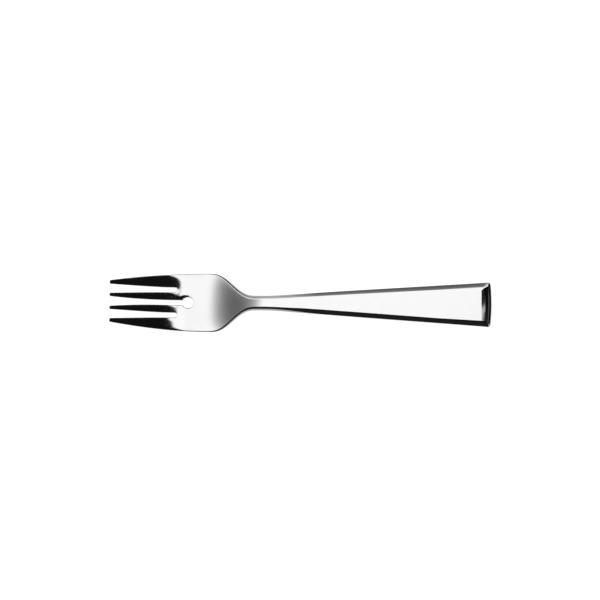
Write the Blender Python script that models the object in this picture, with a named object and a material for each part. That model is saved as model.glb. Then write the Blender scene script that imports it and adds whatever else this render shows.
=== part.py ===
"""Fish fork with a hollow handle, in metres: tines at -X, handle at +X, front side up.

The tines, head, neck and tang are one forging. Two pressed shells, soldered together along the
handle's widest line, make the handle, and a core inside them grips the tang. The fork lies on
the underside of its head and on the end of its handle, at Z = 0.
"""

import math

import bmesh
import bpy
from mathutils import Vector

# Lengths along the fork. Those of the head are counted from the tips of the tines.
FORK_LENGTH = 0.1800
TINE_LENGTH = 0.0317
TINE_TAPER_LENGTH = 0.0257
KEYHOLE_DISTANCE = 0.0368
BEND_DISTANCE = 0.0360
BEND_LENGTH = 0.0120
ARCH_DISTANCE = 0.0440
ARCH_LENGTH = 0.0320
HEAD_LENGTH = 0.0472
SHOULDER_LENGTH = 0.0219
NECK_LENGTH = 0.0076
FLARE_BLEND = 0.0050
TANG_LENGTH = 0.0420
END_FACET_LENGTH = 0.0040
UNDERSIDE_END_LENGTH = 0.0030
END_WALL = 0.0015

# Widths across the fork
HEAD_WIDTH = 0.0275
NECK_WIDTH = 0.00694
HANDLE_END_WIDTH = 0.0213
TINE_PITCH = 0.00597
OUTER_TIP_WIDTH = 0.00167
INNER_TIP_WIDTH = 0.00148
TINE_TIP_RADIUS = 0.0006
OUTER_SLOT_WIDTH = 0.00242
MIDDLE_SLOT_WIDTH = 0.00238
KEYHOLE_RADIUS = 0.00265
KEYHOLE_FILLET = 0.0008
FACET_WIDTH_NECK = 0.0015
FACET_WIDTH_END = 0.0022
UNDERSIDE_FACET_WIDTH = 0.0014
END_BULGE = 0.00055
END_CORNER_RADIUS = 0.0015

# Heights and thicknesses
HEAD_THICKNESS = 0.0019
TIP_THICKNESS = 0.0012
TIP_RISE = 0.0056
NECK_RISE = 0.0003
UNDERSIDE_DEPTH = 0.0023
SIDE_BAND = 0.0005
EDGE_CHAMFER = 0.0003
SHELL_THICKNESS = 0.0005
CORE_WALL = 0.0004

# Angle of the handle's side facets, and how the curved outlines run
FACET_ANGLE = math.radians(39.0)
EDGE_SWEEP_POWER = 1.95
OUTER_FLARE_POWER = 1.3
MIDDLE_FLARE_POWER = 2.2
END_DROP_SHARE = 0.9
TIP_RADIUS_LIMIT = 0.46
ROW_POINTS = 5

# Clearance between pieces that meet, and how far a cutter runs past what it cuts
JOINT_GAP = 0.0003
CUT_MARGIN = 0.0010

# Stations along the fork, worked out from the lengths above
X_TIP = -FORK_LENGTH / 2
X_END = FORK_LENGTH / 2
X_BEND = X_TIP + BEND_DISTANCE
X_ARCH = X_TIP + ARCH_DISTANCE
X_SHOULDER = X_TIP + HEAD_LENGTH
X_NECK = X_SHOULDER + SHOULDER_LENGTH
X_JOINT = X_NECK + NECK_LENGTH
X_TANG_END = X_JOINT + TANG_LENGTH
X_TOP_END = X_END - END_FACET_LENGTH
X_UNDER_END = X_END - UNDERSIDE_END_LENGTH

STEEL = (0.80, 0.80, 0.81, 1.0)
CEMENT = (0.34, 0.33, 0.31, 1.0)


def lerp(first, second, share):
    """The value that lies a share of the way from first to second."""
    return first + (second - first) * share


def clamp(share):
    """A share held between 0 and 1."""
    return min(1.0, max(0.0, share))


def ease(share):
    """A smooth step from 0 to 1, level at both ends."""
    s = clamp(share)
    return s ** 3 * (10 - 15 * s + 6 * s ** 2)


def spread(first, last, count):
    """Evenly spaced stations from first up to, and without, last."""
    return [lerp(first, last, i / count) for i in range(count)]


def round_off(inset, radius):
    """How far a rounded corner falls back at a distance inset from its end."""
    depth = radius - min(radius, max(0.0, inset))
    return radius - math.sqrt(radius ** 2 - depth ** 2)


# The handle's outline and levels

def handle_half_width(x):
    """Half the handle's width: the neck's, flaring into a straight wedge, with round end corners."""
    slope = (HANDLE_END_WIDTH - NECK_WIDTH) / 2 / (X_END - X_JOINT)
    past = x - X_JOINT
    ramp = max(past, 0.0)
    if abs(past) < FLARE_BLEND:
        ramp = (past + FLARE_BLEND) ** 2 / (4 * FLARE_BLEND)
    return NECK_WIDTH / 2 + slope * ramp - round_off(X_END - x, END_CORNER_RADIUS)


def underside_level(x):
    """Height of the line along the handle's flat underside."""
    return NECK_RISE * (X_UNDER_END - x) / (X_UNDER_END - X_JOINT)


def seam_level(x):
    """Height of the solder line between the two shells, which is the handle's widest line."""
    return underside_level(x) + UNDERSIDE_DEPTH


def facet_width(x):
    """Width, seen from above, of the sloping facet along each side of the handle."""
    return lerp(FACET_WIDTH_NECK, FACET_WIDTH_END, clamp((x - X_JOINT) / (X_END - X_JOINT)))


def end_drop(x, start, length):
    """Share of its depth that a face has rounded down by, in the end facet from start on."""
    return END_DROP_SHARE * clamp((x - start) / length) ** 2


def row(first, last, level, count=ROW_POINTS):
    """Points (y, z) across a section at one level, ends included."""
    return [Vector((lerp(first, last, i / (count - 1)), level)) for i in range(count)]


def upper_outline(s, count=ROW_POINTS):
    """The part of a section above its widest line, from right to left."""
    top = row(s["top_half"], -s["top_half"], s["top"], count)
    return [Vector((s["half"], s["high"]))] + top + [Vector((-s["half"], s["high"]))]


def lower_outline(s, count=ROW_POINTS):
    """The part of a section below its widest line, from left to right."""
    under = row(-s["under_half"], s["under_half"], s["under"], count)
    return [Vector((-s["half"], s["low"]))] + under + [Vector((s["half"], s["low"]))]


def outline(s, count=ROW_POINTS):
    """A whole section, anticlockwise from its right side."""
    return upper_outline(s, count) + lower_outline(s, count)


def rim(half_outline, level):
    """Points at one level above or below those of half an outline, in the opposite order."""
    return [Vector((point.x, level)) for point in reversed(half_outline)]


def handle_section(x):
    """The handle's outer section: flat top, facets, upright bands at the seam, flat underside."""
    half = handle_half_width(x)
    facet = facet_width(x)
    seam = seam_level(x)
    up = 1 - end_drop(x, X_TOP_END, END_FACET_LENGTH)
    down = 1 - end_drop(x, X_UNDER_END, UNDERSIDE_END_LENGTH)
    high = seam + SIDE_BAND
    low = seam - SIDE_BAND
    return {
        "half": half,
        "top_half": half - facet * up,
        "under_half": half - UNDERSIDE_FACET_WIDTH * down,
        "top": high + facet * math.tan(FACET_ANGLE) * up,
        "high": high,
        "low": low,
        "under": low - (UNDERSIDE_DEPTH - SIDE_BAND) * down,
    }


def inset(points, distance):
    """A convex outline with every edge moved inwards by a distance."""
    moved = []
    for i, corner in enumerate(points):
        to_corner = (corner - points[i - 1]).normalized()
        from_corner = (points[(i + 1) % len(points)] - corner).normalized()
        inward = Vector((-to_corner.y, to_corner.x))
        next_inward = Vector((-from_corner.y, from_corner.x))
        moved.append(corner + (inward + next_inward) * distance / (1 + inward.dot(next_inward)))
    return moved


def placed(x, points):
    """A section's points in space, bowed at the handle's end so that the end is slightly convex."""
    bow = END_BULGE * clamp((x - X_TOP_END) / END_FACET_LENGTH)
    return [Vector((x - bow * (p.x / (HANDLE_END_WIDTH / 2)) ** 2, p.x, p.y)) for p in points]


def handle_stations(first, last):
    """Stations along the handle, close together where it flares and where its end rounds over."""
    flare_end = X_JOINT + FLARE_BLEND
    stations = spread(first, flare_end, 5) + [flare_end]
    stations += spread(X_TOP_END, X_END - END_CORNER_RADIUS, 7)
    stations += spread(X_END - END_CORNER_RADIUS, X_END, 4)
    return [x for x in stations if x < last] + [last]


# The head's outline and levels

def head_half_width(x):
    """Half the width over the tines, head and shoulders, with round tips on the outer tines."""
    tip_half = (3 * TINE_PITCH + OUTER_TIP_WIDTH) / 2
    sweep = (1 - clamp((x - X_TIP) / HEAD_LENGTH)) ** EDGE_SWEEP_POWER
    head = lerp(HEAD_WIDTH / 2, tip_half, sweep) - round_off(x - X_TIP, tip_radius())
    return lerp(head, handle_half_width(x), ease((x - X_SHOULDER) / SHOULDER_LENGTH))


def tip_radius():
    """Corner radius of a tine's tip, which its width limits."""
    return min(TINE_TIP_RADIUS, TIP_RADIUS_LIMIT * min(OUTER_TIP_WIDTH, INNER_TIP_WIDTH))


def tine_lift(x):
    """Height that the tines have bent up by: a short bend, and then straight to the tips."""
    out = max(0.0, X_BEND - x)
    full = X_BEND - X_TIP - BEND_LENGTH / 2
    bent = out ** 2 / (2 * BEND_LENGTH) if out < BEND_LENGTH else out - BEND_LENGTH / 2
    return TIP_RISE * bent / full


def head_section(x):
    """The head's section: a thin plate with broken edges that becomes the handle's section.

    The tines get thinner from below, so that their front bends smoothly.
    """
    handle = handle_section(x)
    rise = ease((x - X_ARCH) / ARCH_LENGTH)
    form = ease((x - X_SHOULDER) / SHOULDER_LENGTH)
    thickness = lerp(TIP_THICKNESS, HEAD_THICKNESS, clamp((x - X_TIP) / TINE_LENGTH))
    plate_top = HEAD_THICKNESS + tine_lift(x)
    under = lerp(plate_top - thickness, handle["under"], rise)
    top = lerp(plate_top, handle["top"], rise)
    half = head_half_width(x)
    return {
        "half": half,
        "top_half": half - lerp(EDGE_CHAMFER, facet_width(x), form),
        "under_half": half - lerp(EDGE_CHAMFER, UNDERSIDE_FACET_WIDTH, form),
        "top": top,
        "high": top - lerp(EDGE_CHAMFER, handle["top"] - handle["high"], form),
        "low": under + lerp(EDGE_CHAMFER, handle["low"] - handle["under"], form),
        "under": under,
    }


def tang_section(x, clearance):
    """The tang's section, worked inwards from the handle's at the joint, grown by a clearance."""
    depth = SHELL_THICKNESS + JOINT_GAP + CORE_WALL + JOINT_GAP
    joint = inset(outline(handle_section(X_JOINT)), depth)
    upper_corner = joint[1]
    lower_corner = joint[-2]
    half = min(upper_corner.x, lower_corner.x) + clearance
    drop = underside_level(X_JOINT) - underside_level(x)
    top = upper_corner.y - drop + clearance
    under = lower_corner.y - drop - clearance
    return {
        "half": half,
        "top_half": half - EDGE_CHAMFER,
        "under_half": half - EDGE_CHAMFER,
        "top": top,
        "high": top - EDGE_CHAMFER,
        "low": under + EDGE_CHAMFER,
        "under": under,
    }


def slot_half_width(x, root_width, mouth_width, power):
    """Half the width of the gap between two tines, flaring towards their rounded tips."""
    flare = clamp(1 - (x - X_TIP) / TINE_TAPER_LENGTH) ** power
    return lerp(root_width, mouth_width, flare) / 2 + round_off(x - X_TIP, tip_radius())


def arc(centre, radius, start, stop, count):
    """Points of an arc, ends included."""
    turns = [lerp(start, stop, i / count) for i in range(count + 1)]
    return [centre + Vector((math.cos(a), math.sin(a))) * radius for a in turns]


def slot_outline(root_width, mouth_width, power, end_centre, end_radius, fillet):
    """Outline of a slot from past the tips to its round end, on the slot's own centreline."""
    stations = spread(X_TIP, X_TIP + tip_radius(), 4)
    stations += spread(X_TIP + tip_radius(), X_TIP + TINE_TAPER_LENGTH, 8)
    stations += [X_TIP + TINE_TAPER_LENGTH]
    half_widths = [slot_half_width(x, root_width, mouth_width, power) for x in stations]
    edge = [Vector((X_TIP - CUT_MARGIN, half_widths[0]))]
    edge += [Vector(point) for point in zip(stations, half_widths)]
    throat = root_width / 2 + fillet
    back = math.sqrt(max(0.0, (end_radius + fillet) ** 2 - throat ** 2))
    meet = math.atan2(throat, -back)
    if fillet:
        turn = Vector((end_centre - back, throat))
        edge += arc(turn, fillet, -math.pi / 2, meet - math.pi, 4)[:-1]
    end = arc(Vector((end_centre, 0.0)), end_radius, meet, -meet, 16)
    return edge + end + [Vector((p.x, -p.y)) for p in reversed(edge)]


# Meshes and objects

def loft(name, rings, collection):
    """A closed solid through rings of equally many points, upper half first in each ring."""
    shape = bmesh.new()
    loops = [[shape.verts.new(point) for point in ring] for ring in rings]
    count = len(rings[0])
    for loop, next_loop in zip(loops, loops[1:]):
        for i in range(count):
            j = (i + 1) % count
            shape.faces.new((loop[i], loop[j], next_loop[j], next_loop[i]))
    for end in (loops[0], loops[-1]):
        for i in range(count // 2 - 1):
            shape.faces.new((end[i], end[i + 1], end[count - 2 - i], end[count - 1 - i]))
    bmesh.ops.recalc_face_normals(shape, faces=shape.faces)
    return as_object(name, shape, collection)


def as_object(name, shape, collection):
    """Moves a bmesh into a new object, smooth except at real edges, in a collection."""
    mesh = bpy.data.meshes.new(name)
    shape.to_mesh(mesh)
    shape.free()
    mesh.shade_smooth()
    mesh.set_sharp_from_angle(angle=math.radians(25))
    made = bpy.data.objects.new(name, mesh)
    collection.objects.link(made)
    return made


def outline_cutter(name, outline, height, collection):
    """An upright cutter with a flat outline, from a filled and extruded 2D curve."""
    curve = bpy.data.curves.new(name + "_outline", "CURVE")
    curve.dimensions = "2D"
    curve.fill_mode = "BOTH"
    curve.extrude = height
    spline = curve.splines.new("POLY")
    spline.points.add(len(outline) - 1)
    for point, place in zip(spline.points, outline):
        point.co = (place.x, place.y, 0.0, 1.0)
    spline.use_cyclic_u = True
    drawn = bpy.data.objects.new(name + "_outline", curve)
    collection.objects.link(drawn)
    evaluated = drawn.evaluated_get(bpy.context.evaluated_depsgraph_get())
    flat = bpy.data.meshes.new_from_object(evaluated)
    shape = bmesh.new()
    shape.from_mesh(flat)
    bmesh.ops.remove_doubles(shape, verts=shape.verts, dist=1e-6)
    bmesh.ops.recalc_face_normals(shape, faces=shape.faces)
    made = as_object(name, shape, collection)
    made.matrix_world = drawn.matrix_world
    bpy.data.objects.remove(drawn)
    bpy.data.meshes.remove(flat)
    return made


def cut(part, cutter):
    """Takes a cutter's shape out of a part, and keeps the cutter out of the picture."""
    cutter.hide_render = True
    cutter.display_type = "WIRE"
    boolean = part.modifiers.new(cutter.name, "BOOLEAN")
    boolean.operation = "DIFFERENCE"
    boolean.solver = "EXACT"
    boolean.object = cutter


def material(name, colour, metallic, roughness):
    """A plain Principled material."""
    made = bpy.data.materials.new(name)
    made.use_nodes = True
    shader = made.node_tree.nodes["Principled BSDF"]
    shader.inputs["Base Color"].default_value = colour
    shader.inputs["Metallic"].default_value = metallic
    shader.inputs["Roughness"].default_value = roughness
    return made


# The pieces

def make_head(parts, cutters):
    """Tines, head, shoulders and neck, stepping down to the tang inside the handle."""
    stations = spread(X_TIP, X_TIP + tip_radius(), 4)
    stations += spread(X_TIP + tip_radius(), X_BEND - BEND_LENGTH, 9)
    stations += spread(X_BEND - BEND_LENGTH, X_BEND, 8)
    stations += spread(X_BEND, X_ARCH, 4)
    stations += spread(X_ARCH, X_NECK, 26)
    stations += spread(X_NECK, X_JOINT, 6) + [X_JOINT]
    rings = [placed(x, outline(head_section(x))) for x in stations]
    rings += [placed(x, outline(tang_section(x, 0.0))) for x in (X_JOINT, X_TANG_END)]
    head = loft("fork_head", rings, parts)
    height = FORK_LENGTH / 4
    slot_radius = OUTER_SLOT_WIDTH / 2
    slot_end = X_TIP + TINE_LENGTH - slot_radius
    mouth = TINE_PITCH - OUTER_TIP_WIDTH
    outer = slot_outline(OUTER_SLOT_WIDTH, mouth, OUTER_FLARE_POWER, slot_end, slot_radius, 0.0)
    for side, y in (("left", TINE_PITCH), ("right", -TINE_PITCH)):
        moved = [point + Vector((0.0, y)) for point in outer]
        cut(head, outline_cutter("slot_" + side, moved, height, cutters))
    key = X_TIP + KEYHOLE_DISTANCE
    mouth = 2 * (TINE_PITCH - INNER_TIP_WIDTH) - mouth
    shape = (MIDDLE_SLOT_WIDTH, mouth, MIDDLE_FLARE_POWER, key, KEYHOLE_RADIUS, KEYHOLE_FILLET)
    middle = slot_outline(*shape)
    cut(head, outline_cutter("slot_middle", middle, height, cutters))
    return head


def make_cavity(cutters):
    """The hollow inside both shells, open towards the neck."""
    stations = [X_JOINT - CUT_MARGIN] + handle_stations(X_JOINT, X_END - END_WALL)
    rings = [placed(x, inset(outline(handle_section(x)), SHELL_THICKNESS)) for x in stations]
    return loft("cavity", rings, cutters)


def make_upper_shell(parts, cavity):
    """Top face, side facets and upper half of the end, pressed from sheet."""
    rings = []
    for x in handle_stations(X_JOINT + JOINT_GAP, X_END):
        upper = upper_outline(handle_section(x))
        rings.append(placed(x, upper + rim(upper, seam_level(x) + JOINT_GAP / 2)))
    shell = loft("handle_upper_shell", rings, parts)
    cut(shell, cavity)
    return shell


def make_lower_shell(parts, cavity):
    """Flat underside and lower half of the end, pressed from sheet."""
    rings = []
    for x in handle_stations(X_JOINT + JOINT_GAP, X_END):
        lower = lower_outline(handle_section(x))
        rings.append(placed(x, lower + rim(lower, seam_level(x) - JOINT_GAP / 2)))
    shell = loft("handle_lower_shell", rings, parts)
    cut(shell, cavity)
    return shell


def make_core(parts, cutters):
    """Cement that fills the shells and holds the tang in a close pocket."""
    depth = SHELL_THICKNESS + JOINT_GAP
    stations = handle_stations(X_JOINT + JOINT_GAP, X_END - END_WALL - JOINT_GAP)
    rings = [placed(x, inset(outline(handle_section(x)), depth)) for x in stations]
    core = loft("handle_core", rings, parts)
    ends = (X_JOINT - CUT_MARGIN, X_TANG_END + JOINT_GAP)
    pocket = [placed(x, outline(tang_section(x, JOINT_GAP), count=2)) for x in ends]
    cut(core, loft("tang_pocket", pocket, cutters))
    return core


def collection_named(name):
    """A new collection in the scene."""
    made = bpy.data.collections.new(name)
    bpy.context.scene.collection.children.link(made)
    return made


def main():
    for old in list(bpy.data.objects):
        bpy.data.objects.remove(old)
    parts = collection_named("fish_fork")
    cutters = collection_named("fish_fork_cutters")
    cavity = make_cavity(cutters)
    head = make_head(parts, cutters)
    upper = make_upper_shell(parts, cavity)
    lower = make_lower_shell(parts, cavity)
    core = make_core(parts, cutters)
    head.data.materials.append(material("polished_head_steel", STEEL, 1.0, 0.10))
    upper.data.materials.append(material("polished_upper_shell_steel", STEEL, 1.0, 0.10))
    lower.data.materials.append(material("polished_lower_shell_steel", STEEL, 1.0, 0.12))
    core.data.materials.append(material("handle_cement", CEMENT, 0.0, 0.90))
    whole = bpy.data.objects.new("fish_fork_origin", None)
    parts.objects.link(whole)
    for piece in (head, upper, lower, core):
        piece.parent = whole


main()
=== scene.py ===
"""Looks of the fish fork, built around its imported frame: polished steel, floor, light and camera.

All lengths are in metres, in the frame of the CAD model: tines at -X, handle at +X, front side up.
Seen by the camera, the far side is at +Y and the near side at -Y.
"""

import math

import bmesh
import bpy
import numpy as np
from mathutils import Matrix, Vector
from mathutils.geometry import delaunay_2d_cdt


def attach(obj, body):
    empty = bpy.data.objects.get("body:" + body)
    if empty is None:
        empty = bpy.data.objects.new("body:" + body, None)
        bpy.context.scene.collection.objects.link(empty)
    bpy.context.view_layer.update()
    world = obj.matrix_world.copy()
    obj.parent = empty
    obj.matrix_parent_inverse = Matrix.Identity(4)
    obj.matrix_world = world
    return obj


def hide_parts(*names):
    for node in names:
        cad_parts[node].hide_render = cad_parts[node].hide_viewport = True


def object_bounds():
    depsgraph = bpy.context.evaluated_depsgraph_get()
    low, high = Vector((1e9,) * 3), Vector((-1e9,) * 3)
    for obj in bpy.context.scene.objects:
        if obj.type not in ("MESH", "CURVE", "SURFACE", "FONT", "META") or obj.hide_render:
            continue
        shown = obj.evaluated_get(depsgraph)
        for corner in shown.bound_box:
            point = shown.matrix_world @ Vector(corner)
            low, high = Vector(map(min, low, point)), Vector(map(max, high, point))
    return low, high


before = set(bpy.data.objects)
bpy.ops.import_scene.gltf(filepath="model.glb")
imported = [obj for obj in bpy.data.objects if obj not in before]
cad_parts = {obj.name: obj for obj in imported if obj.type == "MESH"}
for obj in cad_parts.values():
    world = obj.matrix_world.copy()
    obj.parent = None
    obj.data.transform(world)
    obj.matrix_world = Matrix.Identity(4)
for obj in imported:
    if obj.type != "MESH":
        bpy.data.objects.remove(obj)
cad_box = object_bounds()

# Lengths along the fork. Distances are counted from the tips of the tines.
TINE_LENGTH = 0.0317
TINE_TAPER_LENGTH = 0.0257
KEYHOLE_DISTANCE = 0.03677
BEND_DISTANCE = 0.03595
BEND_LENGTH = 0.0120
PLATE_LENGTH = 0.0415
ARCH_DISTANCE = 0.0440
ARCH_LENGTH = 0.0313
HEAD_LENGTH = 0.0472
SHOULDER_LENGTH = 0.0219
NECK_LENGTH = 0.0076
FLARE_BLEND = 0.0050
EDGE_FORM_LEAD = 0.0030
EDGE_FORM_LENGTH = 0.0180
NECK_SIDE_FADE = 0.0260
RIDGE_SOFTENING_LENGTH = 0.0250
TANG_LENGTH = 0.0420
TOP_END_LENGTH = 0.0022
UNDER_END_LENGTH = 0.0030
END_FLARE = 0.0032
END_WALL = 0.0015

# Widths across the fork
HEAD_WIDTH = 0.0275
NECK_WIDTH = 0.00694
HANDLE_END_WIDTH = 0.0213
TINE_PITCH = 0.00597
OUTER_TIP_WIDTH = 0.00167
INNER_TIP_WIDTH = 0.00148
TINE_TIP_RADIUS = 0.0006
OUTER_SLOT_WIDTH = 0.00242
MIDDLE_SLOT_WIDTH = 0.00238
KEYHOLE_RADIUS = 0.00265
KEYHOLE_FILLET = 0.0008
RIM_WIDTH = 0.00027
FACET_WIDTH_NECK = 0.0016
FACET_WIDTH_END = 0.0022
UNDER_FACET_WIDTH = 0.0014
END_BULGE = 0.00062
END_CORNER_RADIUS = 0.0015

# The handle's slight extra width, and how far its top lies towards the near side
SIDE_FULLNESS = 0.00013
FACET_FULLNESS = 0.00017
FULLNESS_PEAK = 4 / 27
TOP_SHIFT_NECK = 0.00017
TOP_SHIFT_END = 0.0006

# Heights and thicknesses
HEAD_THICKNESS = 0.0019
TIP_THICKNESS = 0.0012
TIP_RISE = 0.0056
NECK_RISE = 0.0003
UNDERSIDE_DEPTH = 0.0023
SIDE_BAND = 0.0005
NECK_SIDE_FOOT = 0.0001
FACET_DEPTH_NECK = 0.00122
FACET_DEPTH_END = 0.00178
RIM_DEPTH = 0.00021
SHELL_THICKNESS = 0.0005
TANG_INSET = 0.0015
HEAD_DISH = 0.00029

# How much later the arch starts at the head's edges, and still later along the far shoulder
ARCH_BOW = 0.0027
SHOULDER_ROLL = 0.0015
SHOULDER_ROLL_REACH = 0.0018
SHOULDER_ROLL_LEAD_IN = 0.0140

# How the handle's top falls before its end facet: its near part, its far part and where they blend
LEAD_IN_LENGTH = 0.0049
LEAD_IN_NEAR = -0.0048
LEAD_IN_FAR = 0.0037
NEAR_LEAD_IN_SLOPE = 0.0150
NEAR_LEAD_IN_RATE = 7.5
FAR_LEAD_IN_SLOPE = 0.050

# How polishing has rolled the front towards its edges: depth at the edge, and how far it reaches
FAR_ROLL = 0.00016
FAR_ROLL_REACH = 0.0017
NEAR_ROLL = 0.00009
NEAR_ROLL_REACH = 0.0006
OUTER_SLOT_ROLL = 0.000066
OUTER_SLOT_ROLL_REACH = 0.0006
INNER_SLOT_ROLL = 0.000040
INNER_SLOT_ROLL_REACH = 0.00036
MIDDLE_SLOT_ROLL = 0.000044
MIDDLE_SLOT_ROLL_REACH = 0.00039
FAR_SLOT_ROLL = 0.000018
FAR_SLOT_ROLL_REACH = 0.0004
FAR_ROLL_FADE_DISTANCE = 0.0300
FAR_ROLL_FADE_LENGTH = 0.0270
NEAR_ROLL_FADE_DISTANCE = 0.0330
NEAR_ROLL_FADE_LENGTH = 0.0085
MIDDLE_ROLL_FADE_DISTANCE = 0.0300
MIDDLE_ROLL_FADE_LENGTH = 0.0022

# The slope from the second tine down to the middle slot and the keyhole
KEYHOLE_SLOPE = 0.08
KEYHOLE_CREST_START = 0.00273
KEYHOLE_CREST_END = 0.0035
KEYHOLE_CREST_DISTANCE = 0.0325
KEYHOLE_CREST_LENGTH = 0.0032
KEYHOLE_CREST_BLEND = 0.00015
KEYHOLE_SLOPE_DISTANCE = 0.0295
KEYHOLE_SLOPE_LENGTH = 0.0040
KEYHOLE_FADE_DISTANCE = 0.03609
KEYHOLE_FADE_LENGTH = 0.0034

# Roundings that polishing leaves on the edges: how far each reaches, and how much room it takes
OUTER_EDGE_REACH = 0.00022
RIDGE_REACH = 0.00045
END_RIDGE_REACH = 0.0009
END_EDGE_REACH = 0.00030
MITRE_BLEND = 0.00050
END_RIDGE_BLEND = 0.00090
RIDGE_MARGIN = 0.00012
ROUNDING_RATE = 150.0
RIDGE_ROOM_SHARE = 0.45
BLEND_ROOM_SHARE = 0.8
TIP_RIM_SHARE = 0.5
FULL_RIM_DISTANCE = 0.009

# How the curved outlines, the neck's sides and the handle's end run
NECK_SIDE_SHARE = 0.42
NECK_FACET_SLOPE = 0.58
EDGE_SWEEP_POWER = 1.95
OUTER_FLARE_POWER = 1.3
MIDDLE_FLARE_POWER = 2.2
END_DROP_SHARE = 0.9
END_POWER = 1.25
END_FLARE_POWER = 3.0

# A share of the height so large that the facet at the handle's end takes nothing away
FAR_FROM_END = 3.0

# How finely the surfaces are divided
BEND_STEPS = 6
ARC_STEPS = 8
WALL_STEPS = 5
COLUMNS = 24
EDGE_STEP = 0.0005
HANDLE_STEP = 0.0020
FRONT_STEP = 0.00021
BACK_STEP = 0.0007
END_STEP = 0.00012
FINE_END_LENGTH = 0.00538
NORMAL_STEP = 0.00002

# Tolerances
TINY_LENGTH = 1e-9
COLLAPSED_LENGTH = 1e-7
MERGE_DISTANCE = 1e-6
ON_FRONT = 2e-6
SHARP_ANGLE = math.radians(40)

# Stations along the fork, from the frame's ends
X_TIP = cad_box[0].x
X_END = cad_box[1].x
X_BEND = X_TIP + BEND_DISTANCE
X_SLOT_END = X_TIP + TINE_LENGTH - OUTER_SLOT_WIDTH / 2
X_PLATE = X_TIP + PLATE_LENGTH
X_ROLL_END = X_TIP + FAR_ROLL_FADE_DISTANCE + FAR_ROLL_FADE_LENGTH
X_ARCH = X_TIP + ARCH_DISTANCE
X_SHOULDER = X_TIP + HEAD_LENGTH
X_NECK = X_SHOULDER + SHOULDER_LENGTH
X_JOINT = X_NECK + NECK_LENGTH
X_TANG_END = X_JOINT + TANG_LENGTH
X_UNDER_END = X_END - UNDER_END_LENGTH

# Gaps between the tips of the tines
OUTER_MOUTH = TINE_PITCH - OUTER_TIP_WIDTH
MIDDLE_MOUTH = 2 * (TINE_PITCH - INNER_TIP_WIDTH) - OUTER_MOUTH

# The two sides of the fork, and the choice that keeps only a filled outline's inside
UP = 1
DOWN = -1
KEEP_INSIDE = 1


def lerp(first, second, share):
    """The value that lies a share of the way from first to second."""
    return first + (second - first) * share


def clamp(share):
    """A share held between 0 and 1."""
    return min(1.0, max(0.0, share))


def ease(share):
    """A smooth step from 0 to 1, level at both ends."""
    s = clamp(share)
    return s ** 3 * (10 - 15 * s + 6 * s ** 2)


def ease_rate(share):
    """How fast ease rises at a share."""
    return 30 * (share * (1 - share)) ** 2


def spread(first, last, step):
    """Evenly spaced stations from first up to, and without, last."""
    count = max(1, round(abs(last - first) / step))
    return [lerp(first, last, i / count) for i in range(count)]


def round_off(inset, radius):
    """How far a rounded corner falls back at a distance inset from its end."""
    depth = radius - min(radius, max(0.0, inset))
    return radius - math.sqrt(radius ** 2 - depth ** 2)


def soft_min(first, second, blend):
    """The smaller of two heights, rounded where they are within a blend of each other."""
    if blend <= 0.0:
        return min(first, second)
    near = max(blend - abs(first - second), 0.0)
    return min(first, second) - near ** 2 / (4 * blend)


# Widths and levels along the fork

def handle_half_width(x):
    """Half the handle's width: the neck's, flaring into a straight wedge, with round end corners."""
    slope = (HANDLE_END_WIDTH - NECK_WIDTH) / 2 / (X_END - X_JOINT)
    past = x - X_JOINT
    ramp = max(past, 0.0)
    if abs(past) < FLARE_BLEND:
        ramp = (past + FLARE_BLEND) ** 2 / (4 * FLARE_BLEND)
    full = SIDE_FULLNESS * fullness(x)
    return NECK_WIDTH / 2 + slope * ramp + full - round_off(X_END - x, END_CORNER_RADIUS)


def handle_share(x):
    """How far along the handle a station is, from 0 at the neck to 1 at the end."""
    return clamp((x - X_JOINT) / (X_END - X_JOINT))


def fullness(x):
    """How much of the handle's slight extra width there is: 1 at a third of it, 0 at its ends."""
    share = handle_share(x)
    return share * (1 - share) ** 2 / FULLNESS_PEAK


def half_width(x):
    """Half the width over the tines, head, shoulders and handle."""
    tip_half = (3 * TINE_PITCH + OUTER_TIP_WIDTH) / 2
    sweep = (1 - clamp((x - X_TIP) / HEAD_LENGTH)) ** EDGE_SWEEP_POWER
    head = lerp(HEAD_WIDTH / 2, tip_half, sweep) - round_off(x - X_TIP, TINE_TIP_RADIUS)
    return lerp(head, handle_half_width(x), handle_form(x))


def slot_half_width(x, root_width, mouth_width, power):
    """Half the width of the gap between two tines, flaring towards their rounded tips."""
    flare = clamp(1 - (x - X_TIP) / TINE_TAPER_LENGTH) ** power
    return lerp(root_width, mouth_width, flare) / 2 + round_off(x - X_TIP, TINE_TIP_RADIUS)


def outer_slot(x):
    """Half the width of the gap beside an outer tine."""
    return slot_half_width(x, OUTER_SLOT_WIDTH, OUTER_MOUTH, OUTER_FLARE_POWER)


def middle_slot(x):
    """Half the width of the gap between the two inner tines."""
    return slot_half_width(x, MIDDLE_SLOT_WIDTH, MIDDLE_MOUTH, MIDDLE_FLARE_POWER)


def handle_form(x):
    """How far the section has turned from the head's flat plate into the handle's, from 0 to 1."""
    return ease((x - X_SHOULDER) / SHOULDER_LENGTH)


def tine_lift(x):
    """Height that the tines have bent up by: a short bend, and then straight to the tips."""
    out = max(0.0, X_BEND - x)
    full = X_BEND - X_TIP - BEND_LENGTH / 2
    bent = out ** 2 / (2 * BEND_LENGTH) if out < BEND_LENGTH else out - BEND_LENGTH / 2
    return TIP_RISE * bent / full


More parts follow.
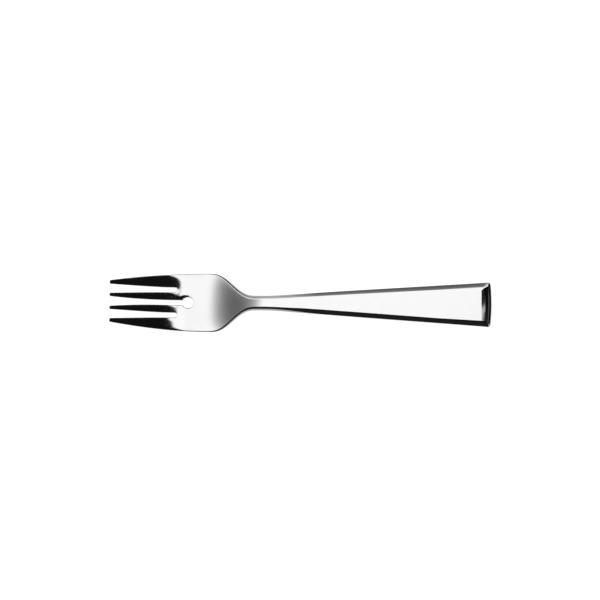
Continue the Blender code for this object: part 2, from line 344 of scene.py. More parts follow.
def section(x):
    """The section at a station, as named values, with facet, depth and rise for each side.

    half is half its width, seam the height where the two sides meet, and flat how much of the head's
    plate is left. shift moves the top sideways, ridge is the reach of its rounding, roll the later
    start of the arch along the far shoulder, climb the arch's slope and steep how upright the neck's
    sides are.
    """
    form = handle_form(x)
    edge_form = ease((x - X_SHOULDER + EDGE_FORM_LEAD) / EDGE_FORM_LENGTH)
    arch_share = clamp((x - X_ARCH) / ARCH_LENGTH)
    arch = ease(arch_share)
    along = handle_share(x)
    facet = lerp(FACET_WIDTH_NECK, FACET_WIDTH_END, along) + FACET_FULLNESS * fullness(x)
    facet_depth = lerp(FACET_DEPTH_NECK, FACET_DEPTH_END, along)
    handle_under = NECK_RISE * (X_UNDER_END - x) / (X_UNDER_END - X_JOINT)
    handle_depth = UNDERSIDE_DEPTH + SIDE_BAND + facet_depth
    thickness = lerp(TIP_THICKNESS, HEAD_THICKNESS, clamp((x - X_TIP) / TINE_LENGTH))
    plate_top = HEAD_THICKNESS + tine_lift(x)
    under = lerp(plate_top - thickness, handle_under, arch)
    top = lerp(plate_top, handle_under + handle_depth, arch)
    seam = lerp(under, top, lerp(0.5, UNDERSIDE_DEPTH / handle_depth, form))
    rim = rim_share(x)
    return {
        "half": half_width(x),
        "seam": seam,
        "flat": 1 - form,
        "shift": lerp(TOP_SHIFT_NECK, TOP_SHIFT_END, along ** 2) * form,
        "ridge": lerp(END_RIDGE_REACH, RIDGE_REACH, clamp((X_END - x) / RIDGE_SOFTENING_LENGTH)),
        "roll": SHOULDER_ROLL * ease((x - X_SHOULDER) / SHOULDER_ROLL_LEAD_IN),
        "climb": (handle_under + handle_depth - HEAD_THICKNESS) * ease_rate(arch_share) / ARCH_LENGTH,
        "steep": edge_form * (1 - ease((x - X_JOINT) / NECK_SIDE_FADE)),
        UP: (
            lerp(rim * RIM_WIDTH, facet, edge_form),
            lerp(rim * RIM_DEPTH, facet_depth, edge_form),
            top - seam,
        ),
        DOWN: (
            lerp(rim * RIM_WIDTH, UNDER_FACET_WIDTH, form),
            lerp(rim * RIM_DEPTH, UNDERSIDE_DEPTH - SIDE_BAND, form),
            seam - under,
        ),
    }


def rim_share(x):
    """How much of the full rounding fits at a tine's edge: less towards its narrow tip."""
    return lerp(TIP_RIM_SHARE, 1.0, clamp((x - X_TIP) / FULL_RIM_DISTANCE))


def bend(before, corner, after, reach):
    """Points of a smooth turn that rounds a corner from one side to the other."""
    start = corner + (before - corner).normalized() * reach
    end = corner + (after - corner).normalized() * reach
    return turn(start, corner, end)


def turn(start, corner, end):
    """Points of a smooth curve from start to end, drawn towards a corner."""
    shares = [i / BEND_STEPS for i in range(BEND_STEPS + 1)]
    return [start * (1 - t) ** 2 + corner * (2 * t * (1 - t)) + end * t ** 2 for t in shares]


def profile(s, side, share=1.0, wall=0.0):
    """Rounded half profile (inset, height) from the seam over the facet to the level face.

    A share makes its roundings smaller. With a wall, the profile is that of the surface that lies a
    wall's thickness further in.
    """
    facet, depth, rise = s[side]
    steep = s["steep"] if side == UP else 0.0
    slope = lerp(depth / facet, NECK_FACET_SLOPE, steep)
    foot = Vector((0.0, lerp(rise - depth, NECK_SIDE_FOOT, steep)))
    edge_inset = NECK_SIDE_SHARE * steep * facet
    edge = Vector((edge_inset, rise - (facet - edge_inset) * slope))
    along = Vector((1.0, slope)).normalized()
    shifted = edge + Vector((along.y, -along.x)) * wall
    edge = shifted + along * ((max(wall, edge_inset) - shifted.x) / along.x)
    ridge = shifted + along * ((rise - wall - shifted.y) / along.y)
    start = Vector((wall, 0.0))
    foot = Vector((wall, min(foot.y, edge.y / 2)))
    level = ridge + Vector((1.0, 0.0))
    room = ROUNDING_RATE * (ridge - edge).length ** 2
    edge_reach = min(OUTER_EDGE_REACH * share, room, (edge - foot).length / 2)
    ridge_reach = min(s["ridge"] * share, room, RIDGE_ROOM_SHARE * (ridge - edge).length)
    points = [start, foot] + bend(foot, edge, ridge, edge_reach)
    points += bend(edge, ridge, level, ridge_reach)
    return points + [points[-1] + Vector((RIDGE_MARGIN * share, 0.0))]


def dish(s, y):
    """Height of the head's shallow hollow, less what the arch's later start takes away."""
    out = (2 * y / HEAD_WIDTH) ** 2
    later = ARCH_BOW * out ** 2 + s["roll"] * math.exp((y - s["half"]) / SHOULDER_ROLL_REACH)
    return HEAD_DISH * s["flat"] * out - s["climb"] * later


def roll(gap, depth, reach):
    """Fall of the front at a distance from a slot's edge, level again well past the edge."""
    return 2 * depth / (1 + math.exp(gap / reach))


def slot_roll(x, y, middle, near_depth, near_reach):
    """Fall of the front round an outer slot, with its own depth at the tine on the near side."""
    past = max(0.0, x - X_SLOT_END)
    away = max(math.hypot(past, y - middle), TINY_LENGTH)
    share = (1 + (y - middle) / away) / 2
    depth = lerp(near_depth, FAR_SLOT_ROLL, share)
    return roll(away - outer_slot(x), depth, lerp(near_reach, FAR_SLOT_ROLL_REACH, share))


def keyhole_fall(out, y):
    """Fall of the front towards the keyhole and the end of the middle slot, on their far side."""
    crest_share = ease((out - KEYHOLE_CREST_DISTANCE) / KEYHOLE_CREST_LENGTH)
    crest = lerp(KEYHOLE_CREST_START, KEYHOLE_CREST_END, crest_share)
    below = math.log1p(math.exp((crest - y) / KEYHOLE_CREST_BLEND)) * KEYHOLE_CREST_BLEND
    start = ease((out - KEYHOLE_SLOPE_DISTANCE) / KEYHOLE_SLOPE_LENGTH)
    stop = ease((out - KEYHOLE_FADE_DISTANCE) / KEYHOLE_FADE_LENGTH)
    return KEYHOLE_SLOPE * below * start * (1 - stop)


def front_fall(x, y):
    """How far polishing has taken the front down at a place on the tines or the head."""
    out = x - X_TIP
    half = half_width(x)
    far = FAR_ROLL * math.exp((y - half) / FAR_ROLL_REACH)
    near = NEAR_ROLL * math.exp((-y - half) / NEAR_ROLL_REACH)
    fall = far * (1 - ease((out - FAR_ROLL_FADE_DISTANCE) / FAR_ROLL_FADE_LENGTH))
    fall += near * (1 - ease((out - NEAR_ROLL_FADE_DISTANCE) / NEAR_ROLL_FADE_LENGTH))
    fall += slot_roll(x, y, TINE_PITCH, INNER_SLOT_ROLL, INNER_SLOT_ROLL_REACH)
    fall += slot_roll(x, y, -TINE_PITCH, OUTER_SLOT_ROLL, OUTER_SLOT_ROLL_REACH)
    if y > 0:
        return fall + keyhole_fall(out, y)
    middle = roll(-middle_slot(x) - y, MIDDLE_SLOT_ROLL, MIDDLE_SLOT_ROLL_REACH)
    return fall + middle * (1 - ease((out - MIDDLE_ROLL_FADE_DISTANCE) / MIDDLE_ROLL_FADE_LENGTH))


def fall_at(side, x, y):
    """What polishing has taken away at a place: nothing underneath and behind the head."""
    return front_fall(x, y) if side == UP and x < X_ROLL_END else 0.0


def front_level(x, y):
    """Height of the front at a place on the tines or the head, within its rims."""
    s = section(x)
    return level_at(s, UP, y, s[UP][2], front_fall(x, y))


def level_at(s, side, y, height, fall):
    """Height in space of a point on a section's upper or lower surface."""
    return s["seam"] + side * (height - fall * height / s[side][2]) + dish(s, y)


# Outline of the tines, from the head's far edge round every tine to its near edge

def arc(centre, radius, start, stop, steps):
    """Points of an arc, ends included, with its angles in degrees."""
    angles = [math.radians(lerp(start, stop, i / steps)) for i in range(steps + 1)]
    return [centre + Vector((math.cos(a), math.sin(a))) * radius for a in angles]


def nose_stations():
    """Stations round a tine's tip, close together where its corner turns."""
    turns = [math.pi / 2 * i / ARC_STEPS for i in range(ARC_STEPS)]
    return [X_TIP + TINE_TIP_RADIUS * (1 - math.cos(a)) for a in turns]


def tine_edge(last, edge):
    """Points along one edge of a tine from its tip up to a station, where edge gives y at x."""
    stations = nose_stations() + spread(X_TIP + TINE_TIP_RADIUS, last, EDGE_STEP) + [last]
    return [Vector((x, edge(x))) for x in stations]


def far_outline():
    """The outline's far half, from the head's edge to the back of the keyhole."""
    slot_radius = OUTER_SLOT_WIDTH / 2
    key = Vector((X_TIP + KEYHOLE_DISTANCE, 0.0))
    throat = MIDDLE_SLOT_WIDTH / 2 + KEYHOLE_FILLET
    reach = KEYHOLE_RADIUS + KEYHOLE_FILLET
    fillet = key + Vector((-math.sqrt(reach ** 2 - throat ** 2), throat))
    meet = math.degrees(math.atan2(fillet.y - key.y, fillet.x - key.x))

    first_tine = tine_edge(X_PLATE, half_width)[::-1]
    first_tine += tine_edge(X_SLOT_END, lambda x: TINE_PITCH + outer_slot(x))
    slot = arc(Vector((X_SLOT_END, TINE_PITCH)), slot_radius, 90, -90, 2 * ARC_STEPS)
    second_tine = tine_edge(X_SLOT_END, lambda x: TINE_PITCH - outer_slot(x))[::-1]
    second_tine += tine_edge(fillet.x, middle_slot)
    throat_turn = arc(fillet, KEYHOLE_FILLET, -90, meet - 180, ARC_STEPS)
    keyhole = arc(key, KEYHOLE_RADIUS, meet, 0, 4 * ARC_STEPS)
    return first_tine + slot[1:-1] + second_tine + throat_turn[1:] + keyhole[1:]


def tine_outline():
    """The whole outline and the inward direction at each of its points."""
    far = far_outline()
    points = far + [Vector((p.x, -p.y)) for p in reversed(far[:-1])]
    inward = []
    for i, point in enumerate(points):
        along = points[min(i + 1, len(points) - 1)] - points[max(i - 1, 0)]
        inward.append(Vector((-along.y, along.x)).normalized())
    inward[0] = Vector((0.0, -1.0))
    inward[-1] = Vector((0.0, 1.0))
    return points, inward


# Meshes

def distance_from(outline, places):
    """How far each place is from an outline."""
    starts = np.array(outline[:-1])
    ways = np.array(outline[1:]) - starts
    nearest = np.full(len(places), np.inf)
    for start, way in zip(starts, ways):
        share = np.clip((places - start) @ way / max(way @ way, TINY_LENGTH ** 2), 0.0, 1.0)
        offset = places - start - share[:, None] * way
        nearest = np.minimum(nearest, np.hypot(*offset.T))
    return nearest


def inside(loop, places):
    """Which places lie within a closed loop."""
    found = np.zeros(len(places), bool)
    for a, b in zip(loop, loop[1:] + loop[:1]):
        if a.y != b.y:
            crosses = (a.y > places[:, 1]) != (b.y > places[:, 1])
            at = a.x + (places[:, 1] - a.y) * (b.x - a.x) / (b.y - a.y)
            found ^= crosses & (places[:, 0] < at)
    return found


def fill_places(loop, step):
    """Places in staggered rows that fill a closed loop, clear of its edge."""
    row_step = step * math.sqrt(0.75)
    rows = spread(X_TIP, X_PLATE, row_step)
    places = []
    for i, x in enumerate(rows):
        shift = step / 2 if i % 2 else 0.0
        ys = spread(-HEAD_WIDTH / 2, HEAD_WIDTH / 2, step)
        places += [(x, y + shift) for y in ys]
    places = np.array(places)
    places = places[inside(loop, places)]
    return places[distance_from(loop + loop[:1], places) > step / 2]


def add_tines(shape, side):
    """The upper or lower surface of the tines and the head, up to where the plate is whole."""
    outline, inward = tine_outline()
    sections = [section(p.x) for p in outline]
    profiles = [profile(s, side, share=rim_share(p.x)) for s, p in zip(sections, outline)]
    count = len(profiles[0])
    ladder = []
    for i in range(count):
        loop = []
        for p, n, s, half_profile in zip(outline, inward, sections, profiles):
            inset, height = half_profile[i]
            place = p + n * inset
            here = section(place.x)
            fall = fall_at(side, *place)
            z = level_at(here, side, place.y, height * here[side][2] / s[side][2], fall)
            loop.append(shape.verts.new((place.x, place.y, z)))
        ladder.append(loop)
    for loop, inner in zip(ladder, ladder[1:]):
        for j in range(len(outline) - 1):
            add_face(shape, (loop[j], loop[j + 1], inner[j + 1], inner[j]), side)
    edge = [Vector(v.co[:2]) for v in ladder[-1]]
    cut = [Vector((X_PLATE, y)) for y in columns(edge[-1].y, edge[0].y)]
    loop = edge + cut
    places = fill_places(loop, FRONT_STEP if side == UP else BACK_STEP)
    flat = loop + [Vector(p) for p in places]
    ring = [(i, (i + 1) % len(loop)) for i in range(len(loop))]
    verts, _, faces, *_ = delaunay_2d_cdt(flat, ring, [], KEEP_INSIDE, TINY_LENGTH)
    made = []
    for v in verts:
        s = section(v.x)
        made.append(shape.verts.new((*v, level_at(s, side, v.y, s[side][2], fall_at(side, *v)))))
    for face in faces:
        add_face(shape, [made[i] for i in face], side)


def add_face(shape, corners, side):
    """A face from corners that run anticlockwise seen from above, turned over underneath."""
    shape.faces.new(corners if side == UP else corners[::-1])


def columns(first, last):
    """Inner positions that divide a width evenly, ends left out."""
    return [lerp(first, last, i / COLUMNS) for i in range(1, COLUMNS)]


def section_row(x, side, s, half_profile):
    """Points across the upper or lower surface at a station, from the far edge to the near one."""
    half = s["half"]
    far = [(half - inset, height) for inset, height in half_profile]
    inset, height = half_profile[-1]
    middle = [(y, height) for y in columns(half - inset, inset - half)]
    near = [(-y, height) for y, height in reversed(far)]
    places = []
    for y, height in far + middle + near:
        shift = s["shift"] * height / s[side][2] if side == UP else 0.0
        z = level_at(s, side, y, height, fall_at(side, x, y))
        places.append(Vector((x, y - shift, z)))
    return places


def head_ring(x):
    """A closed ring round the head or neck at a station."""
    s = section(x)
    upper, lower = (
        section_row(x, side, s, profile(s, side, share=rim_share(x))) for side in (UP, DOWN)
    )
    return upper + lower[-2:0:-1]


def tang_ring(x, joint):
    """A ring round the tang, the joint's ring drawn in to fit inside the handle."""
    low = Vector(map(min, *joint))
    high = Vector(map(max, *joint))
    middle = (low + high) / 2
    size = high - low
    shrink = Vector((1.0, 1 - 2 * TANG_INSET / size.y, 1 - 2 * TANG_INSET / size.z))
    drop = NECK_RISE * (x - X_JOINT) / (X_UNDER_END - X_JOINT)
    drawn = [(p - middle) * shrink + middle for p in joint]
    return [Vector((x, p.y, p.z - drop)) for p in drawn]


def add_strips(shape, rows, closed):
    """Faces between rows of equally many points, each row closed into a ring or left open."""
    lines = [[shape.verts.new(point) for point in row] for row in rows]
    count = len(rows[0])
    for line, following in zip(lines, lines[1:]):
        for i in range(count if closed else count - 1):
            j = (i + 1) % count
            shape.faces.new((line[i], line[j], following[j], following[i]))
    return lines


def as_piece(name, shape, material, node):
    """A smooth object from a bmesh, which stands for a CAD node and moves with the fork."""
    bmesh.ops.remove_doubles(shape, verts=shape.verts, dist=MERGE_DISTANCE)
    bmesh.ops.dissolve_degenerate(shape, edges=shape.edges, dist=COLLAPSED_LENGTH)
    bmesh.ops.recalc_face_normals(shape, faces=shape.faces)
    mesh = bpy.data.meshes.new(name)
    shape.to_mesh(mesh)
    shape.free()
    mesh.shade_smooth()
    mesh.set_sharp_from_angle(angle=SHARP_ANGLE)
    mesh.materials.append(material)
    piece = bpy.data.objects.new(name, mesh)
    bpy.context.scene.collection.objects.link(piece)
    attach(piece, "root")
    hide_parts(node)
    return piece


def make_head(material):
    """Tines, head, shoulders, neck and tang."""
    shape = bmesh.new()
    for side in (UP, DOWN):
        add_tines(shape, side)
    stations = spread(X_PLATE, X_JOINT, EDGE_STEP) + [X_JOINT]
    rings = [head_ring(x) for x in stations]
    rings += [tang_ring(x, rings[-1]) for x in (X_JOINT, X_TANG_END)]
    last = add_strips(shape, rings, closed=True)[-1]
    for i in range(len(last) // 2):
        corners = (last[i], last[i + 1], last[-i - 1], last[-i])
        shape.faces.new(list(dict.fromkeys(corners)))
    smooth_front(as_piece("fork_head_polished", shape, material, "fork_head"))


def smooth_front(head):
    """Gives the front of the tines the exact directions of its surface, for even reflections."""
    mesh = head.data
    exact = {}
    for i, vertex in enumerate(mesh.vertices):
        x, y, z = vertex.co
        if x < X_PLATE and abs(front_level(x, y) - z) < ON_FRONT:
            rise_x = front_level(x + NORMAL_STEP, y) - front_level(x - NORMAL_STEP, y)
            rise_y = front_level(x, y + NORMAL_STEP) - front_level(x, y - NORMAL_STEP)
            exact[i] = Vector((-rise_x, -rise_y, 2 * NORMAL_STEP)).normalized()
    directions = []
    for corner, loop in zip(mesh.corner_normals, mesh.loops):
        directions.append(exact.get(loop.vertex_index, corner.vector))
    mesh.normals_split_custom_set(directions)


def end_facet(away, length, drop):
    """Share of the full height that the end's facet has at a distance from the end, over 1 past it."""
    return 1 - drop * clamp(1 - away / length) ** END_POWER + max(0.0, away / length - 1)


def end_profile(length, drop):
    """Stations (distance from the end, share of the full height) round the handle's end."""
    corner = Vector((0.0, 1 - drop))
    stations = spread(FINE_END_LENGTH, END_EDGE_REACH, END_STEP)
    facet = [(away, end_facet(away, length, drop)) for away in stations]
    start = Vector((END_EDGE_REACH, end_facet(END_EDGE_REACH, length, drop)))
    stop = Vector((0.0, corner.y / 2))
    edge = [tuple(point) for point in turn(start, corner, stop)]
    wall = [(0.0, stop.y * (1 - i / WALL_STEPS)) for i in range(1, WALL_STEPS + 1)]
    return facet + edge + wall


def lead_in(away, y):
    """How far the handle's top has fallen before its end facet, which is less on the near side."""
    out = max(0.0, LEAD_IN_LENGTH - away)
    near = out * (NEAR_LEAD_IN_SLOPE + out * NEAR_LEAD_IN_RATE / 2)
    far = out * FAR_LEAD_IN_SLOPE
    return lerp(near, far, ease((y - LEAD_IN_NEAR) / (LEAD_IN_FAR - LEAD_IN_NEAR)))


def shell_rows(side, wall):
    """Rows of a shell's outer surface, or of its inner one where a wall is given.

    The facet at the handle's end reaches further along the handle towards the far side.
    """
    length = TOP_END_LENGTH if side == UP else UNDER_END_LENGTH
    _, depth, rise = section(X_END)[side]
    drop = END_DROP_SHARE * depth / rise
    flare_end = X_JOINT + FLARE_BLEND
    straight = spread(X_JOINT, flare_end, EDGE_STEP)
    straight += spread(flare_end, X_END - FINE_END_LENGTH, HANDLE_STEP)
    stations = [(X_END - x, FAR_FROM_END) for x in straight] + end_profile(length, drop)
    end_wall = END_WALL if wall else 0.0
    rows = []
    for away, share in stations:
        x = X_END - lerp(end_wall, X_END - X_JOINT, away / (X_END - X_JOINT))
        s = section(x)
        half_profile = profile(s, side, wall=wall)
        full = s[side][2] - wall
        near_end = min(away, LEAD_IN_LENGTH)
        row = []
        for p in section_row(x, side, s, half_profile):
            level = full - (lead_in(away, p.y) if side == UP else 0.0)
            out = clamp(2 * p.y / HANDLE_END_WIDTH)
            longer = length + END_FLARE * out ** END_FLARE_POWER
            fall = end_facet(near_end, length, drop) - end_facet(near_end, longer, drop)
            facet = full * (share - fall)
            cap = soft_min(level, facet, min(END_RIDGE_BLEND, BLEND_ROOM_SHARE * facet))
            blend = min(MITRE_BLEND, BLEND_ROOM_SHARE * (full - cap), BLEND_ROOM_SHARE * cap)
            height = soft_min(side * (p.z - s["seam"]), cap, blend)
            row.append(bowed(Vector((p.x, p.y, s["seam"] + side * height))))
        rows.append(row)
    return rows


def bowed(point):
    """A point moved back so that the handle's end is slightly convex."""
    bow = END_BULGE * clamp((point.x - X_END + LEAD_IN_LENGTH) / LEAD_IN_LENGTH)
    return Vector((point.x - bow * (2 * point.y / HANDLE_END_WIDTH) ** 2, point.y, point.z))


def make_shell(name, side, material, node):
    """One pressed half of the handle, with its inner surface and the rim between the two."""
    shape = bmesh.new()
    outer = shell_rows(side, 0.0)
    inner = shell_rows(side, SHELL_THICKNESS)
    add_strips(shape, outer, closed=False)
    add_strips(shape, inner, closed=False)
    add_strips(shape, [outer[0], inner[0]], closed=False)
    add_strips(shape, [outer[-1], inner[-1]], closed=False)
    for edge in (0, -1):
        rims = [[row[edge] for row in rows] for rows in (outer, inner)]
        add_strips(shape, rims, closed=False)
    as_piece(name, shape, material, node)


def dress_core(material):
    """The cement inside the handle, which keeps its CAD shape."""
    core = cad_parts["handle_core"]
    core.data.materials.clear()
    core.data.materials.append(material)


# Materials. A ramp has two amounts and the values there, and a tint has two amounts and their colours.

STEEL_TINT = (0.3, 0.7, (0.785, 0.785, 0.79, 1), (0.815, 0.815, 0.818, 1))
STEEL_HAZE = (0.3, 0.7, 0.045, 0.065)
STEEL_CLOUD_SCALE = 160.0
POLISH_LINE_SCALE = (120, 4200, 4200)
POLISH_LINE_HAZE = (0.35, 0.75, 0.0, 0.03)
POLISH_LINE_DEPTH = 0.00002
CEMENT_TINT = (0.0, 1.0, (0.27, 0.26, 0.245, 1), (0.41, 0.40, 0.375, 1))
CEMENT_ROUGHNESS = (0.3, 0.7, 0.82, 0.95)
CEMENT_GRAIN_SCALE = 1800.0
CEMENT_PORE_SCALE = 900.0
CEMENT_PORE_DEPTH = 0.0002
PAPER_TINT = (0.0, 1.0, (0.30, 0.30, 0.30, 1), (0.31, 0.31, 0.31, 1))
PAPER_FIBRE_SCALE = 900.0
PAPER_GLOW = 0.94
PAPER_GLOW_IN_STEEL = 0.30


class Graph:
    """Small helper that adds nodes to a node tree and links their sockets."""

    def __init__(self, tree):
        self.tree = tree
        tree.nodes.clear()

    def add(self, kind, **inputs):
        """A node with values or links on its inputs, which are named with _ for a space."""
        node = self.tree.nodes.new(kind)
        for key, value in inputs.items():
            self.feed(node.inputs[key.replace("_", " ")], value)
        return node

    def feed(self, socket, value):
        """Sets a socket to a value, or links it to another socket."""
        if isinstance(value, bpy.types.NodeSocket):
            self.tree.links.new(value, socket)
        else:
            socket.default_value = value

    def math(self, operation, *values):
        """The result of a math node on values or sockets."""
        node = self.tree.nodes.new("ShaderNodeMath")
        node.operation = operation
        for socket, value in zip(node.inputs, values):
            self.feed(socket, value)
        return node.outputs[0]

    def chain(self, operation, values):
        """The result of one math operation over any number of values or sockets."""
        result, *others = values
        for value in others:
            result = self.math(operation, result, value)
        return result

    def total(self, *values):
        """The sum of values or sockets."""
        return self.chain("ADD", values)

    def product(self, *values):
        """The product of values or sockets."""
        return self.chain("MULTIPLY", values)

    def largest(self, *values):
        """The largest of values or sockets."""
        return self.chain("MAXIMUM", values)

    def tint(self, value, low, high, first, last):
        """A colour that goes from first to last as a value goes from low to high."""
        node = self.add("ShaderNodeValToRGB", Fac=value)
        for element, place, colour in zip(node.color_ramp.elements, (low, high), (first, last)):
            element.position = place
            element.color = colour
        return node.outputs[0]

    def ramp(self, value, low, high, first, last):
        """A smooth change from first to last as a value goes from low to high."""
        node = self.tree.nodes.new("ShaderNodeMapRange")
        node.interpolation_type = "SMOOTHERSTEP"
        for socket, amount in zip(node.inputs, (value, low, high, first, last)):
            self.feed(socket, amount)
        return node.outputs[0]


def new_material(name):
    """A new material, the graph of its nodes, and the place on the object that its textures follow."""
    material = bpy.data.materials.new(name)
    material.use_nodes = True
    graph = Graph(material.node_tree)
    return material, graph, graph.add("ShaderNodeTexCoord").outputs["Object"]


def polished_steel(name, seed):
    """Mirror-polished stainless steel with faint cloudiness and fine lengthwise polishing lines."""
    material, graph, place = new_material(name)
    shifted = graph.add("ShaderNodeMapping", Vector=place, Location=(seed, seed, seed)).outputs[0]
    drawn_out = graph.add("ShaderNodeMapping", Vector=shifted, Scale=POLISH_LINE_SCALE).outputs[0]
    lines = graph.add("ShaderNodeTexNoise", Vector=drawn_out, Scale=1.0, Detail=3.0).outputs[0]
    clouds = graph.add("ShaderNodeTexNoise", Vector=shifted, Scale=STEEL_CLOUD_SCALE, Detail=4.0)
    cloud = clouds.outputs[0]
    haze = graph.total(graph.ramp(cloud, *STEEL_HAZE), graph.ramp(lines, *POLISH_LINE_HAZE))
    bump = graph.add("ShaderNodeBump", Height=lines, Strength=0.02, Distance=POLISH_LINE_DEPTH)
    shader = graph.add(
        "ShaderNodeBsdfPrincipled",
        Base_Color=graph.tint(cloud, *STEEL_TINT),
        Metallic=1.0,
        Roughness=haze,
        Normal=bump.outputs[0],
    )
    graph.add("ShaderNodeOutputMaterial", Surface=shader.outputs[0])
    return material


def cement():
    """Dull grey casting cement with grains and pores, inside the handle."""
    material, graph, place = new_material("cement_grain")
    grains = graph.add("ShaderNodeTexNoise", Vector=place, Scale=CEMENT_GRAIN_SCALE, Detail=6.0)
    grain = grains.outputs[0]
    pores = graph.add("ShaderNodeTexVoronoi", Vector=place, Scale=CEMENT_PORE_SCALE).outputs[0]
    bump = graph.add("ShaderNodeBump", Height=pores, Strength=0.4, Distance=CEMENT_PORE_DEPTH)
    shader = graph.add(
        "ShaderNodeBsdfPrincipled",
        Base_Color=graph.tint(grain, *CEMENT_TINT),
        Roughness=graph.ramp(grain, *CEMENT_ROUGHNESS),
        Normal=bump.outputs[0],
    )
    graph.add("ShaderNodeOutputMaterial", Surface=shader.outputs[0])
    return material


def white_paper():
    """White paper that reads as white to the camera and still takes a faint shadow."""
    material, graph, place = new_material("white_paper")
    fibres = graph.add("ShaderNodeTexNoise", Vector=place, Scale=PAPER_FIBRE_SCALE, Detail=5.0)
    paper = graph.add("ShaderNodeBsdfDiffuse", Color=graph.tint(fibres.outputs[0], *PAPER_TINT))
    path = graph.add("ShaderNodeLightPath").outputs
    direct = graph.largest(path["Is Camera Ray"], path["Is Transmission Ray"])
    mirrored = graph.product(path["Is Glossy Ray"], PAPER_GLOW_IN_STEEL)
    strength = graph.largest(graph.product(direct, PAPER_GLOW), mirrored)
    glow = graph.add("ShaderNodeEmission", Strength=strength)
    both = graph.add("ShaderNodeAddShader")
    graph.feed(both.inputs[0], paper.outputs[0])
    graph.feed(both.inputs[1], glow.outputs[0])
    graph.add("ShaderNodeOutputMaterial", Surface=both.outputs[0])
    return material


# Studio: floor, light and camera

CAMERA_TILT = math.radians(6.0)
CAMERA_ROLL = math.radians(0.42)
CAMERA_DISTANCE = 1.6
VIEW_DEPTH = 16.0
PHOTO_WIDTH = 0.2829
AIM = Vector((-0.00035, 0.0016, 0.002))
FLOOR_SIZE = 6.0
FLOOR_SEGMENTS = 8
FLOOR_DROP = 0.0002
LAMP_SIZE = 0.9
LAMP_POWER = 4.0
LAMP_PLACE = Vector((-0.1, 0.15, 0.9))

# Directions that the studio's light comes from are parts of a unit vector: along the fork to the
# handle's end, across it to the far side, and up. A ramp has two of them and the values there.

# The soft box's edge towards the tines: how it fades, leans and flares towards the far side
BOX_STRENGTH = 1.19
FADE_START = -0.058
FADE_SHARPNESS = 67.0
FADE_POWER = 0.128
FADE_LEAN = (0.0, 0.21, 0.012, -0.012)
FADE_FLARE_START = 0.15
FADE_FLARE = 0.45

# The soft box's other edges: the slanted one towards the handle's end, the near one and the low one
BOX_SLANT = 1.2
BOX_SLANT_END = 0.2
BOX_FAR_SLANT = 2.2
BOX_FAR_SLANT_START = 0.4
BOX_SLANTED_EDGE = (-0.06, -0.01, 1.0, 0.002)
BOX_NEAR_EDGE = (-0.70, -0.54, 0.0, 1.0)
BOX_LOW_EDGE = (0.15, 0.75, 0.066, 1.0)
BOX_END_EDGE = (0.38, 0.54, 1.0, 0.02)

# The strip beyond the handle's end, the dark cloth and the two low cards
STRIP_PLACE = 0.80
STRIP_WIDTH = 0.06
STRIP_ENDS = (0.1, 0.35, 0.15, 0.0)
CLOTH = (-0.70, -0.54, 0.014, 0.0035)
TINE_CARD = (-0.62, -0.46, 0.8, 0.0)
CORNER_CARD = (0.58, 0.68, 0.0, 0.7)
CORNER_CARD_SIDE = (-0.58, -0.44, 1.0, 0.0)
CARD_FOOT = (0.02, 0.2, 0.1, 1.0)


def make_floor():
    """A wide sheet of white paper under the fork."""
    shape = bmesh.new()
    reach = FLOOR_SIZE / 2
    bmesh.ops.create_grid(shape, x_segments=FLOOR_SEGMENTS, y_segments=FLOOR_SEGMENTS, size=reach)
    mesh = bpy.data.meshes.new("paper_floor")
    shape.to_mesh(mesh)
    shape.free()
    mesh.materials.append(white_paper())
    floor = bpy.data.objects.new("paper_floor", mesh)
    floor.location.z = cad_box[0].z - FLOOR_DROP
    bpy.context.scene.collection.objects.link(floor)


def soft_box(graph, along, across, up):
    """Light of a large soft box overhead, which fades towards the tines and has a slanted edge."""
    aside = graph.largest(graph.math("SUBTRACT", across, FADE_FLARE_START), 0.0)
    lean = graph.total(graph.ramp(across, *FADE_LEAN), graph.product(aside, FADE_FLARE))
    inside_edge = graph.total(along, -FADE_START, lean)
    grown = graph.math("EXPONENT", graph.product(inside_edge, -FADE_SHARPNESS))
    fade = graph.math("POWER", graph.total(grown, 1.0), -FADE_POWER)
    beyond = graph.largest(graph.math("SUBTRACT", across, BOX_FAR_SLANT_START), 0.0)
    slant = graph.product(graph.math("MINIMUM", across, BOX_SLANT_END), BOX_SLANT)
    slant = graph.total(slant, graph.product(beyond, BOX_FAR_SLANT))
    past_edge = graph.math("SUBTRACT", along, slant)
    return graph.product(
        fade,
        BOX_STRENGTH,
        graph.ramp(past_edge, *BOX_SLANTED_EDGE),
        graph.ramp(across, *BOX_NEAR_EDGE),
        graph.ramp(up, *BOX_LOW_EDGE),
        graph.ramp(along, *BOX_END_EDGE),
    )


def strip_light(graph, along, across):
    """Light of a narrow strip beyond the handle's end, soft all round."""
    off = graph.math("DIVIDE", graph.math("SUBTRACT", along, STRIP_PLACE), STRIP_WIDTH)
    strip = graph.math("EXPONENT", graph.product(off, off, -1.0))
    return graph.product(strip, graph.ramp(graph.math("ABSOLUTE", across), *STRIP_ENDS))


def low_cards(graph, along, across, up):
    """Light of a pale card beyond the tines, and of one off the near corner of the handle's end."""
    corner_card = graph.product(graph.ramp(along, *CORNER_CARD), graph.ramp(across, *CORNER_CARD_SIDE))
    cards = graph.largest(graph.ramp(along, *TINE_CARD), corner_card)
    return graph.product(cards, graph.ramp(up, *CARD_FOOT))


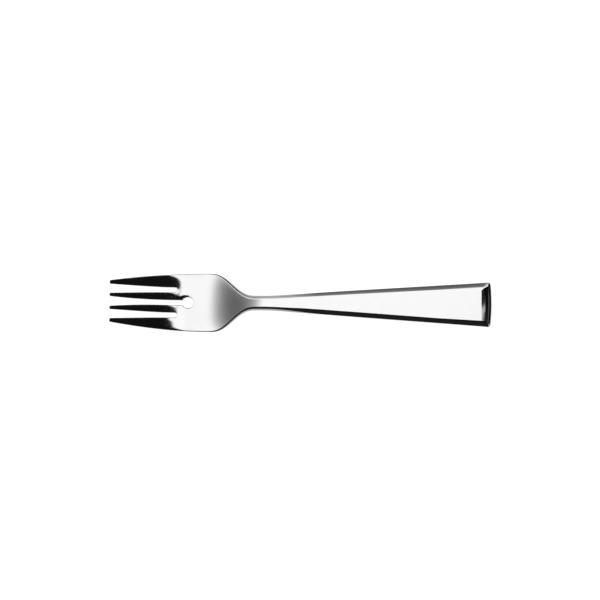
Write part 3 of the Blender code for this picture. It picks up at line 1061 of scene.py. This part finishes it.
def make_world():
    """The studio round the fork: soft box, strip, low cards and dark cloth. The camera sees white."""
    world = bpy.data.worlds.new("studio")
    world.use_nodes = True
    bpy.context.scene.world = world
    graph = Graph(world.node_tree)
    direction = graph.add("ShaderNodeTexCoord").outputs["Generated"]
    along, across, up = graph.add("ShaderNodeSeparateXYZ", Vector=direction).outputs
    box = soft_box(graph, along, across, up)
    light = graph.total(box, strip_light(graph, along, across), graph.ramp(across, *CLOTH))
    light = graph.largest(light, low_cards(graph, along, across, up))
    seen = graph.add("ShaderNodeLightPath").outputs["Is Camera Ray"]
    sky = graph.add("ShaderNodeBackground", Color=(1, 1, 1, 1), Strength=graph.largest(light, seen))
    graph.add("ShaderNodeOutputWorld", Surface=sky.outputs[0])


def make_lamp():
    """A soft lamp overhead that gives the paper the fork's faint shadow."""
    light = bpy.data.lights.new("overhead", "AREA")
    light.shape = "DISK"
    light.size = LAMP_SIZE
    light.energy = LAMP_POWER
    lamp = bpy.data.objects.new("overhead", light)
    lamp.location = LAMP_PLACE
    lamp.rotation_euler = (-LAMP_PLACE).to_track_quat("-Z", "Y").to_euler()
    lamp.visible_glossy = False
    bpy.context.scene.collection.objects.link(lamp)


def make_camera():
    """The photograph's view: almost straight down, from a little towards the near side."""
    lens = bpy.data.cameras.new("camera")
    lens.lens = lens.sensor_width * CAMERA_DISTANCE / PHOTO_WIDTH
    lens.clip_end = VIEW_DEPTH
    camera = bpy.data.objects.new("camera", lens)
    back = Vector((0.0, -math.sin(CAMERA_TILT), math.cos(CAMERA_TILT)))
    facing = (-back).to_track_quat("-Z", "Y").to_matrix().to_4x4()
    place = Matrix.Translation(AIM + back * CAMERA_DISTANCE)
    camera.matrix_world = place @ facing @ Matrix.Rotation(CAMERA_ROLL, 4, "Z")
    bpy.context.scene.collection.objects.link(camera)
    bpy.context.scene.camera = camera


def main():
    """Dresses the four pieces and sets up the studio."""
    make_head(polished_steel("head_polish", seed=0.0))
    upper_steel = polished_steel("upper_polish", seed=0.3)
    lower_steel = polished_steel("lower_polish", seed=0.7)
    make_shell("handle_upper_polished", UP, upper_steel, "handle_upper_shell")
    make_shell("handle_lower_polished", DOWN, lower_steel, "handle_lower_shell")
    dress_core(cement())
    make_floor()
    make_world()
    make_lamp()
    make_camera()
    bpy.context.scene.view_settings.view_transform = "Standard"


main()
